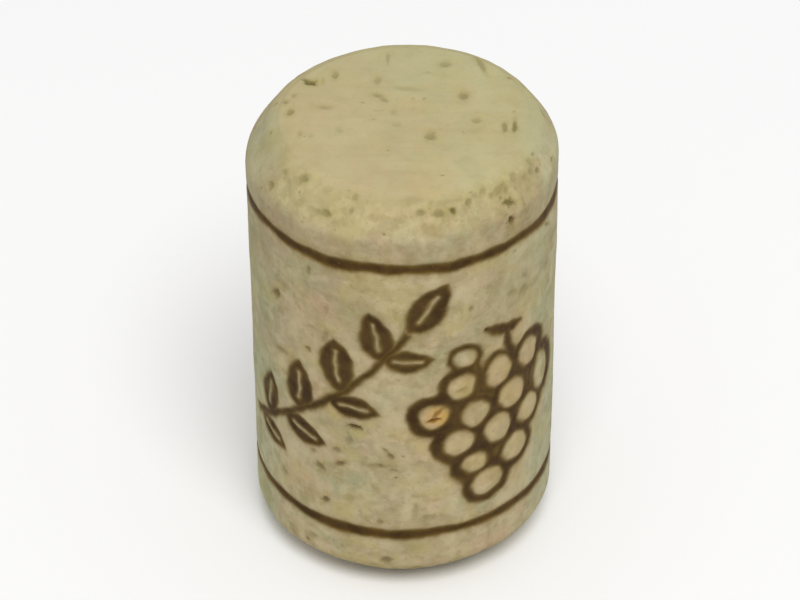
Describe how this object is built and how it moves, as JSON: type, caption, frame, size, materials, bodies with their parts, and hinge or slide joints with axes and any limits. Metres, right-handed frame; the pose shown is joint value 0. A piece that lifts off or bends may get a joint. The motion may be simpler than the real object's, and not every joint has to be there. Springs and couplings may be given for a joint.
{
  "type": "wine cork",
  "caption": "Straight cork stopper for a wine bottle, bevelled at both ends, with a burnt ornament of grapes and leaves between dark rings on its side.",
  "frame": {"origin": "middle of the end face that the stopper stands on", "axes": "+Z along the stopper's axis, from the end it stands on to the other end; -Y towards the side with the bunch of grapes"},
  "size_m": [0.024, 0.024, 0.038],
  "materials": {
    "cork": "matte"
  },
  "bodies": {
    "root": {"stopper": "cork"}
  },
  "joints": []
}
